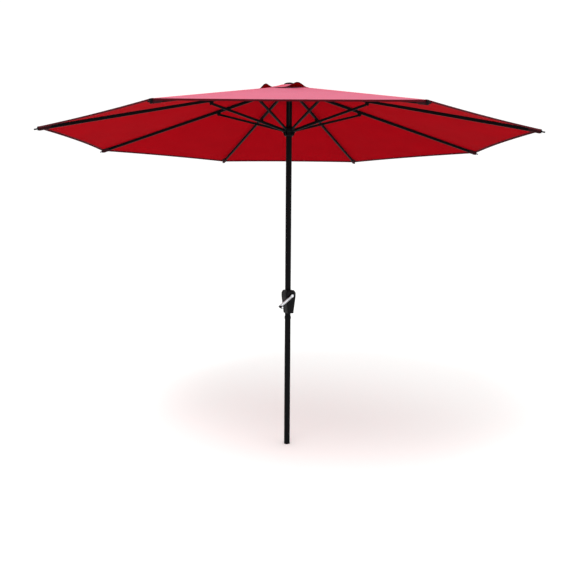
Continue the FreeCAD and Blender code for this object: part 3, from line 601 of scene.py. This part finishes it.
def half_gore(sizes, rib, side, stations=GORE_STATIONS, columns=15):
    """Rows of points and of flat cut for half of the cloth between two ribs, from its opening to its hem."""
    rows, flat = [], []
    for i in range(stations + 1):
        along = i / stations
        row, cut = [], []
        for j in range(columns):
            step = j / (columns - 1)
            bow = step * (2 - step)
            edge = RIM - sizes.scallop * bow / math.cos(HALF)
            radius = OPENING + along * (edge - OPENING)
            seam = sizes.seam_width / 2 / (radius * math.sin(HALF) * math.cos(HALF))
            share = seam + (1 - seam) * step
            fullness = 0.3 + 0.7 * math.sin(math.pi * min(1.0, along) ** 0.75)
            lift = -sizes.sag * bow * fullness
            fade = ease(step * 3) * ease(8 * (1.02 - along))
            lift += sizes.ripple * wave_height(rib, side, along, share) * fade
            row.append(gore_point(rib, side, radius, share, lift))
            cut.append((-side * (1 - share) * radius * math.sin(HALF), radius))
        rows.append(row)
        flat.append(cut)
    return rows, flat


# how far the wind has curled up each facet of the vent cap, and how far to one side of its middle
CURLS = ((0.12, 0.1), (0.15, -0.4), (0.5, 0.4), (0.8, 0.2), (0.6, -0.5), (0.15, 0.3), (0.95, 0.6), (1.0, 0.6))


def vent_lift_at(sizes, rib, side, along, share):
    """How far the vent cap stands off its facet: drawn down to the canopy, with its edge curled up once."""
    height, centre = CURLS[(rib if side > 0 else rib - 1) % RIBS]
    across = -side * (1 - share)
    bump = 1.6 * (1 - across * across) * math.exp(-((across - centre) / 0.5) ** 2)
    curl = max(0.0, (along - 0.7) / 0.3) ** 1.4
    return sizes.vent_lift * height * bump * curl - sizes.vent_drop * ease((along - 0.3) / 0.4)


def half_vent(sizes, rib, side, stations=30, columns=17):
    """Rows of points and of flat cut for half of one facet of the vent cap."""
    rise = VENT_LOW.z + CLOTH_THICK - cloth_height(VENT_RIM)
    rows, flat = [], []
    for i in range(stations + 1):
        along = i / stations
        row, cut = [], []
        for j in range(columns):
            step = j / (columns - 1)
            radius = VENT_NECK + along * (VENT_RIM - 4 * MM * math.sin(math.pi / 2 * step) - VENT_NECK)
            seam = sizes.vent_seam_width / 2 / (radius * math.sin(HALF) * math.cos(HALF))
            share = seam + (1 - seam) * step
            lift = rise + vent_lift_at(sizes, rib, side, along, share)
            row.append(gore_point(rib, side, radius, share, lift))
            cut.append((-side * (1 - share) * radius * math.sin(HALF), radius))
        rows.append(row)
        flat.append(cut)
    return rows, flat


def seam_rows(rib, width, radii, lift_at, seam_rise):
    """Rows for the felled seam over a rib: a folded strip, level with the cloth at its two sides."""
    rows, flat = [], []
    places = (-1.0, -0.86, -0.74, -0.4, 0.0, 0.4, 0.74, 0.86, 1.0)
    for radius in radii:
        row, cut = [], []
        for place in places:
            side = 1 if place >= 0 else -1
            share = abs(place) * width / 2 / (radius * math.sin(HALF) * math.cos(HALF))
            raised = 0.0 if abs(place) > 0.8 else seam_rise
            rounded = -0.12 * width * SLOPE * (1 - abs(place)) ** 2
            row.append(gore_point(rib, side, radius, share, lift_at(radius) + raised + rounded))
            cut.append((width / 2 + place * width / 2, radius))
        rows.append(row)
        flat.append(cut)
    return rows, flat


def binding_rows(points, inner_points, width, drop=0.0):
    """Rows for a tape folded over a cloth's edge. The cloth runs in from each point towards its inner point.

    The outer part of the tape is rolled, and hangs below the cloth by the drop.
    """
    rows, flat = [], []
    travelled = 0.0
    low = -1.4 * CLOTH_THICK - drop
    shape = [(1.0, 0.1), (0.96, 0.55), (0.5, 0.6), (0.08, 0.6), (-0.05, 0.2), (-0.07, -0.4),
             (-0.05, -1.0)]
    shape = [(across, high * CLOTH_THICK) for across, high in shape]
    shape += [(-0.07, low * 0.9), (0.0, low), (0.16, low), (0.24, low * 0.85), (0.28, -1.45 * CLOTH_THICK),
              (0.5, -1.4 * CLOTH_THICK), (0.96, -1.35 * CLOTH_THICK), (1.0, -0.9 * CLOTH_THICK)]
    for i, point in enumerate(points):
        before, after = points[max(0, i - 1)], points[min(len(points) - 1, i + 1)]
        along = (after - before).normalized()
        inward = (inner_points[i] - point).normalized()
        inward = (inward - along * inward.dot(along)).normalized()
        up = along.cross(inward)
        if up.z < 0:
            up = -up
        if i:
            travelled += (point - points[i - 1]).length
        rows.append([point + inward * width * across + up * high for across, high in shape])
        cut = [(width * (1 - across), travelled) for across, _ in shape]
        flat.append(cut + [cut[0]])
    return rows, flat


def closed_place(point):
    """Where a point on a rib goes when the umbrella is closed, in the rib's own upright plane."""
    out, up = point.x - PIVOT_RADIUS, point.z - HUB_PIN.z
    turn_cos, turn_sin = math.cos(FOLD_ANGLE), math.sin(FOLD_ANGLE)
    return Vector((PIVOT_RADIUS + out * turn_cos + up * turn_sin, point.y,
                   HUB_PIN.z - out * turn_sin + up * turn_cos))


def fold_lean(keep, seam):
    """How far the folding plane leans, so that the closed cloth just meets its neighbour between two ribs."""
    rim_middle = Vector((RIM * math.cos(HALF) ** 2, RIM * math.sin(HALF) * math.cos(HALF), RIM_HEIGHT))
    anchor = Vector((RIM, seam, RIM_HEIGHT))
    low, high = 0.0, 0.4
    for _ in range(40):
        lean = (low + high) / 2
        normal = fold_normal(lean)
        moved = closed_place(rim_middle - normal * ((rim_middle - anchor).dot(normal) * (1 - keep)))
        if moved.y > math.tan(HALF) * moved.x:
            high = lean
        else:
            low = lean
    return (low + high) / 2


def fold_normal(lean):
    """The direction in which a half gore flattens, in its rib's frame: across the rib, leaning up from it."""
    return Vector((math.sin(lean) * math.sin(RIB_TILT), math.cos(lean), math.sin(lean) * math.cos(RIB_TILT)))


def fold_away(sizes, piece, side):
    """Works out the leaning plane in which a half gore would flatten against its rib as the umbrella closes, and
    gives the piece its own mesh. The plane isn't applied to the piece.
    """
    lean = fold_lean(sizes.fold_keep, sizes.seam_width / 2)
    normal = fold_normal(lean)
    normal.y *= side
    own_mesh(piece)


def thicken(piece):
    """Gives the cloth its thickness below its upper face, with the second finish on its lower face."""
    choose(piece)
    if piece.data.polygons[0].normal.z < 0:
        bpy.ops.object.mode_set(mode="EDIT")
        bpy.ops.mesh.select_all(action="SELECT")
        bpy.ops.mesh.flip_normals()
        bpy.ops.object.mode_set(mode="OBJECT")
    piece.data.materials.append(finish("spun_polyester"))
    piece.data.materials.append(finish("backed_polyester_painted_shade"))
    apply_modifier(piece, "SOLIDIFY", thickness=CLOTH_THICK, offset=-1.0, material_offset=1)
    smooth(piece, 30)


def sew_half(sizes, rib, side, names, cut_out, tape):
    """Sews half a facet of cloth and the binding over its hem."""
    body, word = f"rib_{rib + 1}", "left" if side > 0 else "right"
    rows, flat = cut_out(sizes, rib, side)
    gore = lay_sheet(f"{names[0]}_{rib + 1}_{word}", rows, flat)
    thicken(gore)
    bound, cut = binding_rows(rows[-1], rows[-2], *tape)
    hem = lay_sheet(f"{names[1]}_{rib + 1}_{word}", bound, cut, closed=True)
    outward(hem)
    finish_piece(gore, body, None)
    finish_piece(hem, body, finish("hem_binding_painted_shade"))
    for piece in (gore, hem):
        fold_away(sizes, piece, side)
    return gore


def sew_seam(rib, rows, flat, names, seam_finish, tape_width):
    """Sews the felled seam over a rib, and the binding over its end."""
    body = f"rib_{rib + 1}"
    seam = lay_sheet(f"{names[0]}_{rib + 1}", rows, flat)
    thicken(seam)
    finish_piece(seam, body, finish(seam_finish))
    bound, cut = binding_rows(rows[-1], rows[-2], tape_width)
    corner = lay_sheet(f"{names[1]}_{rib + 1}", bound, cut, closed=True)
    outward(corner)
    finish_piece(corner, body, finish("hem_binding_painted_shade"))


# ---------------------------------------------------------------- pieces

class UMBRELLA_OT_canopy(bpy.types.Operator):
    """Sews the canopy: two half gores and a felled seam on each rib, with the binding over the hem"""
    bl_idname = "umbrella.canopy"
    bl_label = "Canopy"

    def execute(self, context):
        sizes = context.scene.umbrella_sizes
        radii = [OPENING + i / GORE_STATIONS * (RIM - OPENING) for i in range(GORE_STATIONS + 1)]
        for rib in range(RIBS):
            for side in (1, -1):
                gore = sew_half(sizes, rib, side, ("gore", "hem"), half_gore,
                                (sizes.hem_width, sizes.hem_roll))
                if side > 0:
                    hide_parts(f"canopy_panel_{rib + 1}")
            rows, flat = seam_rows(rib, sizes.seam_width, radii, lambda radius: 0.0, sizes.seam_rise)
            sew_seam(rib, rows, flat, ("seam", "hem_corner"), "felled_seam", sizes.hem_width)
        return {"FINISHED"}


class UMBRELLA_OT_vent(bpy.types.Operator):
    """Sews the vent cap, whose edge curls up between the ribs"""
    bl_idname = "umbrella.vent"
    bl_label = "Vent cap"

    def execute(self, context):
        sizes = context.scene.umbrella_sizes
        rise = VENT_LOW.z + CLOTH_THICK - cloth_height(VENT_RIM)
        radii = [VENT_NECK + i / VENT_SEAM_STATIONS * (VENT_RIM - VENT_NECK)
                 for i in range(VENT_SEAM_STATIONS + 1)]
        for rib in range(RIBS):
            for side in (1, -1):
                gore = sew_half(sizes, rib, side, ("vent", "vent_hem"), half_vent,
                                (sizes.vent_hem_width, sizes.hem_roll / 4))
                if rib == 0 and side > 0:
                    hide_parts("vent_canopy")

            def lift_at(radius):
                along = (radius - VENT_NECK) / (VENT_RIM - VENT_NECK)
                return rise + vent_lift_at(sizes, rib, 1, along, 0.0)

            rows, flat = seam_rows(rib, sizes.vent_seam_width, radii, lift_at, sizes.seam_rise)
            sew_seam(rib, rows, flat, ("vent_seam", "vent_hem_corner"), "vent_felled_seam", sizes.vent_hem_width)
        return {"FINISHED"}


class UMBRELLA_OT_pockets(bpy.types.Operator):
    """Sews the eight corner pockets that the rib tips sit in"""
    bl_idname = "umbrella.pockets"
    bl_label = "Corner pockets"

    def execute(self, context):
        sizes = context.scene.umbrella_sizes
        half = sizes.pocket_width / 2
        rows, flat = [], []
        for i in range(21):
            along = i / 20
            radius = RIM - sizes.pocket_length * (1 - along) - 1.5 * MM
            reach = half * (0.62 + 0.38 * along)
            row, cut = [], []
            for j in range(33):
                place = -1 + j / 16
                share = abs(place) * reach / (radius * math.sin(HALF) * math.cos(HALF))
                bulge = 1 - ease((abs(place) * reach - 7.5 * MM) / (9 * MM))
                mouth = 1 - 0.12 * ease(1 - along * 6)
                shut = 1 - ease((along - 0.9) / 0.1) * 0.55
                lift = -CLOTH_THICK - 0.5 * MM - POCKET_DEPTH * bulge * mouth * shut
                side = 1 if place >= 0 else -1
                row.append(gore_point(0, side, radius, share, lift))
                cut.append((half + place * half, radius))
            rows.append(row)
            flat.append(cut)
        first = lay_sheet("pocket_1", rows, flat)
        choose(first)
        inwards = -1.0 if first.data.polygons[0].normal.z < 0 else 1.0
        apply_modifier(first, "SOLIDIFY", thickness=1.2 * MM, offset=inwards)
        smooth(first, 60)
        for rib in range(RIBS):
            pocket = first if rib == 0 else copy_turned(first, f"pocket_{rib + 1}", rib * STEP)
            finish_piece(pocket, f"rib_{rib + 1}", finish("pocket_webbing"))
        return {"FINISHED"}


class UMBRELLA_OT_folding_frame(bpy.types.Operator):
    """Finishes the ribs and struts, their saddles, rivets and tips"""
    bl_idname = "umbrella.folding_frame"
    bl_label = "Ribs and struts"

    def execute(self, context):
        sizes = context.scene.umbrella_sizes
        paint([f"rib_{i + 1}" for i in range(RIBS)], finish("powder_coated_steel"))
        strut = refined("strut_1", "strut_pressed_1", sizes.pressed_edge)
        fittings = refined("rib_fittings_1", "rib_ends_1", sizes.pressed_edge)
        rivet = self.rivet()
        for i in range(RIBS):
            name = i + 1
            tube = strut if i == 0 else copy_turned(strut, f"strut_pressed_{name}", i * STEP)
            ends = fittings if i == 0 else copy_turned(fittings, f"rib_ends_{name}", i * STEP)
            heads = rivet if i == 0 else copy_turned(rivet, f"rivet_{name}", i * STEP)
            finish_piece(tube, f"strut_{name}", finish("powder_coated_steel"),
                         [f"strut_{name}"])
            finish_piece(ends, f"rib_{name}", finish("glass_filled_nylon"),
                         [f"rib_fittings_{name}"])
            finish_piece(heads, f"rib_{name}", finish("powder_coated_steel"))
        return {"FINISHED"}

    @staticmethod
    def rivet():
        """Two domed heads, one on each side of the joint between rib and strut."""
        profile = [(3.6, 0.0), (4.6, 0.25), (4.7, 0.7), (4.2, 1.4), (3.2, 2.0), (1.8, 2.35), (0.5, 2.45)]
        heads = []
        for side in (1, -1):
            head = turned("rivet_1" if side > 0 else "rivet_back",
                          [(r * MM, z * MM) for r, z in profile], 24)
            axis = Vector((-math.sin(FIRST_RIB), math.cos(FIRST_RIB), 0)) * side
            head.data.transform(axis.to_track_quat("Z", "Y").to_matrix().to_4x4())
            head.data.transform(Matrix.Translation(RIVET + axis * RIVET_START))
            heads.append(head)
        piece = join(heads)
        smooth(piece, 50)
        return piece


class UMBRELLA_OT_hub(bpy.types.Operator):
    """Finishes the top hub, its cap, pulley and pins"""
    bl_idname = "umbrella.hub"
    bl_label = "Hub and cap"

    def execute(self, context):
        sizes = context.scene.umbrella_sizes
        hub = refined("top_hub", "hub_cast", sizes.pressed_edge)
        finish_piece(hub, "pole", finish("glass_filled_nylon"), ["top_hub"])
        low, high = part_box("top_cap")
        wide, top = high.x, high.z
        stem, base = 5 * MM, top - CAP_HEIGHT
        outline = [(wide - 12 * MM, base + 9 * MM), (wide - 3 * MM, base + 3 * MM), (wide - 3 * MM, base),
                   (wide - 1 * MM, base), (wide, base + 1 * MM), (wide, base + 2.6 * MM),
                   (wide - 0.6 * MM, base + 3.8 * MM), (wide - 2 * MM, base + 5.4 * MM),
                   (wide - 4 * MM, base + 7.6 * MM), (wide - 7.5 * MM, base + 9.6 * MM),
                   (wide - 12 * MM, base + 11 * MM), (wide - 16 * MM, base + 12 * MM),
                   (wide - 19 * MM, base + 12.7 * MM), (wide - 21 * MM, base + 13 * MM),
                   (wide - 22.5 * MM, base + 12.5 * MM), (4 * MM, base + 12.4 * MM)]
        cap = turned("cap_moulded", outline, 72)
        stalk = turned("cap_stem", [(stem, low.z), (stem, base + 10 * MM)], 32)
        cap = join([cap, stalk])
        smooth(cap, 40)
        finish_piece(cap, "pole", finish("glass_filled_nylon"), ["top_cap"])
        paint(["hub_pins", "pulley_pin"], finish("bright_zinc_plate"))
        paint(["pulley"], finish("textured_abs"))
        return {"FINISHED"}


class UMBRELLA_OT_runner(bpy.types.Operator):
    """Finishes the runner, with the gussets moulded between its sleeve and its flange"""
    bl_idname = "umbrella.runner"
    bl_label = "Runner"

    def execute(self, context):
        sizes = context.scene.umbrella_sizes
        body = refined("runner", "runner_moulded", sizes.moulded_edge * 0.6)
        pieces = [body]
        for i in range(RIBS):
            deselect()
            bpy.ops.mesh.primitive_cube_add(size=1)
            gusset = bpy.context.object
            gusset.scale = (17 * MM, 3 * MM, 9 * MM)
            gusset.location = (33 * MM, 0, RUNNER_PIN.z + 15 * MM)
            settle(gusset)
            for vertex in gusset.data.vertices:
                if vertex.co.x > 33 * MM and vertex.co.z > RUNNER_PIN.z + 15 * MM:
                    vertex.co.z -= 8.4 * MM
            apply_modifier(gusset, "BEVEL", width=0.7 * MM, segments=2)
            gusset.data.transform(Matrix.Rotation(azimuth(i) + HALF, 4, "Z"))
            pieces.append(gusset)
            pieces.append(self.web(i))
        runner = join(pieces)
        runner.name = "runner_moulded"
        smooth(runner)
        finish_piece(runner, "runner", finish("glass_filled_nylon"), ["runner"])
        paint(["runner_pins"], finish("bright_zinc_plate"))
        return {"FINISHED"}

    @staticmethod
    def web(index):
        """A tapered web under the flange, between two struts."""
        deselect()
        bpy.ops.mesh.primitive_cube_add(size=1)
        web = bpy.context.object
        web.scale = (10 * MM, 3.4 * MM, 22 * MM)
        web.location = (28 * MM, 0, RUNNER_PIN.z - 22 * MM)
        settle(web)
        for vertex in web.data.vertices:
            if vertex.co.x > 28 * MM:
                vertex.co.x += -1.5 * MM if vertex.co.z < RUNNER_PIN.z - 22 * MM else 6 * MM
        apply_modifier(web, "BEVEL", width=0.8 * MM, segments=2)
        web.data.transform(Matrix.Rotation(azimuth(index) + HALF, 4, "Z"))
        return web


class UMBRELLA_OT_cord(bpy.types.Operator):
    """Braids the lift cord from the pulley down to the runner"""
    bl_idname = "umbrella.cord"
    bl_label = "Lift cord"

    def execute(self, context):
        low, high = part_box("lift_cord_tail")
        radius = (high.x - low.x) / 2
        centre = (low + high) / 2
        sides, stations = 12, 90
        rows, flat = [], []
        for i in range(stations + 1):
            height = high.z + (low.z - high.z) * i / stations
            ring = [(centre.x + radius * math.cos(2 * math.pi * j / sides),
                     centre.y + radius * math.sin(2 * math.pi * j / sides), height) for j in range(sides)]
            rows.append([Vector(point) for point in ring])
            flat.append([(j / sides, high.z - height) for j in range(sides + 1)])
        tail = lay_sheet("lift_cord_braid", rows, flat, closed=True)
        outward(tail)
        tail.data.materials.append(finish("braided_polyester"))
        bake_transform(tail)
        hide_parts("lift_cord_tail")
        paint(["lift_cord", "cord_windings"], finish("glass_filled_nylon"))
        return {"FINISHED"}


class UMBRELLA_OT_pole(bpy.types.Operator):
    """Finishes the pole, its ferrule and its foot"""
    bl_idname = "umbrella.pole"
    bl_label = "Pole"

    def execute(self, context):
        sizes = context.scene.umbrella_sizes
        paint(["lower_pole", "upper_pole"], finish("powder_coated_steel"))
        paint(["pole_coupler"], finish("bright_zinc_plate"))
        paint(["foot_plug"], finish("glass_filled_nylon"))
        ferrule = refined("pole_ferrule", "ferrule_rolled", sizes.moulded_edge * 0.6, 3)
        finish_piece(ferrule, "pole", finish("glass_filled_nylon"), ["pole_ferrule"])
        return {"FINISHED"}


class UMBRELLA_OT_crank(bpy.types.Operator):
    """Finishes the crank: casing, screws, shaft, pressed arm and knob"""
    bl_idname = "umbrella.crank"
    bl_label = "Crank"

    def execute(self, context):
        sizes = context.scene.umbrella_sizes
        for half in ("front", "rear"):
            casing = refined(f"crank_housing_{half}", f"casing_{half}", sizes.moulded_edge, 3)
            finish_piece(casing, "pole", finish("textured_abs"), [f"crank_housing_{half}"])
        arm = refined("crank_arm", "arm_pressed", sizes.pressed_edge)
        finish_piece(arm, "crank", finish("bright_zinc_plate"), ["crank_arm"])
        knob = refined("crank_knob", "knob_moulded", sizes.moulded_edge)
        finish_piece(knob, "knob", finish("textured_abs"), ["crank_knob"])
        paint(["housing_screws", "crank_shaft", "brake_spring", "knob_pin"], finish("bright_zinc_plate"))
        paint(["cord_drum"], finish("glass_filled_nylon"))
        return {"FINISHED"}


class UMBRELLA_OT_stage(bpy.types.Operator):
    """Sets the pale floor, the soft studio light and the camera"""
    bl_idname = "umbrella.stage"
    bl_label = "Stage"

    def execute(self, context):
        scene = context.scene
        deselect()
        bpy.ops.mesh.primitive_circle_add(vertices=96, radius=FLOOR_RADIUS, fill_type="NGON",
                                          location=(0, 0, -0.5 * MM))
        floor = context.object
        floor.name = "studio_floor"
        settle(floor)
        material, tree = blank_material("studio_paint")
        shade(tree, (*scene.umbrella_colours.floor, 1), Roughness=0.9)
        floor.data.materials.append(material)
        world = bpy.data.worlds.new("studio")
        world.use_nodes = True
        world.node_tree.nodes["Background"].inputs["Color"].default_value = (1, 1, 1, 1)
        world.node_tree.nodes["Background"].inputs["Strength"].default_value = WORLD_STRENGTH
        scene.world = world
        self.lamp("key", (-1.2, -3.0, 6.0), 3.0, 330)
        self.lamp("fill", (4.0, -3.5, 1.2), 2.5, 40)
        scene.view_settings.view_transform = "Standard"
        lens = bpy.data.cameras.new("camera")
        lens.sensor_width = SENSOR_WIDTH
        lens.lens = LENS_LENGTH
        camera = bpy.data.objects.new("camera", lens)
        scene.collection.objects.link(camera)
        camera.matrix_world = (Matrix.Translation(CAMERA_PLACE) @ Matrix.Rotation(CAMERA_YAW, 4, "Z")
                               @ Matrix.Rotation(math.pi / 2 - CAMERA_PITCH, 4, "X")
                               @ Matrix.Rotation(CAMERA_ROLL, 4, "Z"))
        scene.camera = camera
        return {"FINISHED"}

    @staticmethod
    def lamp(name, place, size, power):
        """A square soft box that faces the middle of the umbrella."""
        deselect()
        bpy.ops.object.light_add(type="AREA", location=place)
        lamp = bpy.context.object
        lamp.name = name
        lamp.data.size = size
        lamp.data.energy = power
        lamp.rotation_euler = (LAMP_TARGET - Vector(place)).to_track_quat("-Z", "Y").to_euler()


class UMBRELLA_PT_panel(bpy.types.Panel):
    """Lists the umbrella's sizes, colours and pieces"""
    bl_idname = "UMBRELLA_PT_panel"
    bl_label = "Patio Umbrella"
    bl_space_type = "VIEW_3D"
    bl_region_type = "UI"
    bl_category = "Umbrella"

    def draw(self, context):
        layout = self.layout
        for group in (context.scene.umbrella_sizes, context.scene.umbrella_colours):
            box = layout.box()
            for name in group.__annotations__:
                box.prop(group, name)
        for piece in PIECES:
            layout.operator(piece.bl_idname)


PIECES = (UMBRELLA_OT_pole, UMBRELLA_OT_folding_frame, UMBRELLA_OT_hub, UMBRELLA_OT_runner, UMBRELLA_OT_cord,
          UMBRELLA_OT_crank, UMBRELLA_OT_canopy, UMBRELLA_OT_vent, UMBRELLA_OT_pockets, UMBRELLA_OT_stage)
CLASSES = (UmbrellaSizes, UmbrellaColours, *PIECES, UMBRELLA_PT_panel)


def register():
    for kind in CLASSES:
        bpy.utils.register_class(kind)
    bpy.types.Scene.umbrella_sizes = bpy.props.PointerProperty(type=UmbrellaSizes)
    bpy.types.Scene.umbrella_colours = bpy.props.PointerProperty(type=UmbrellaColours)


def unregister():
    del bpy.types.Scene.umbrella_colours
    del bpy.types.Scene.umbrella_sizes
    for kind in reversed(CLASSES):
        bpy.utils.unregister_class(kind)


def main():
    """Registers the add-on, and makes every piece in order."""
    register()
    bpy.ops.umbrella.pole()
    bpy.ops.umbrella.folding_frame()
    bpy.ops.umbrella.hub()
    bpy.ops.umbrella.runner()
    bpy.ops.umbrella.cord()
    bpy.ops.umbrella.crank()
    bpy.ops.umbrella.canopy()
    bpy.ops.umbrella.vent()
    bpy.ops.umbrella.pockets()
    bpy.ops.umbrella.stage()


if __name__ == "__main__":
    main()
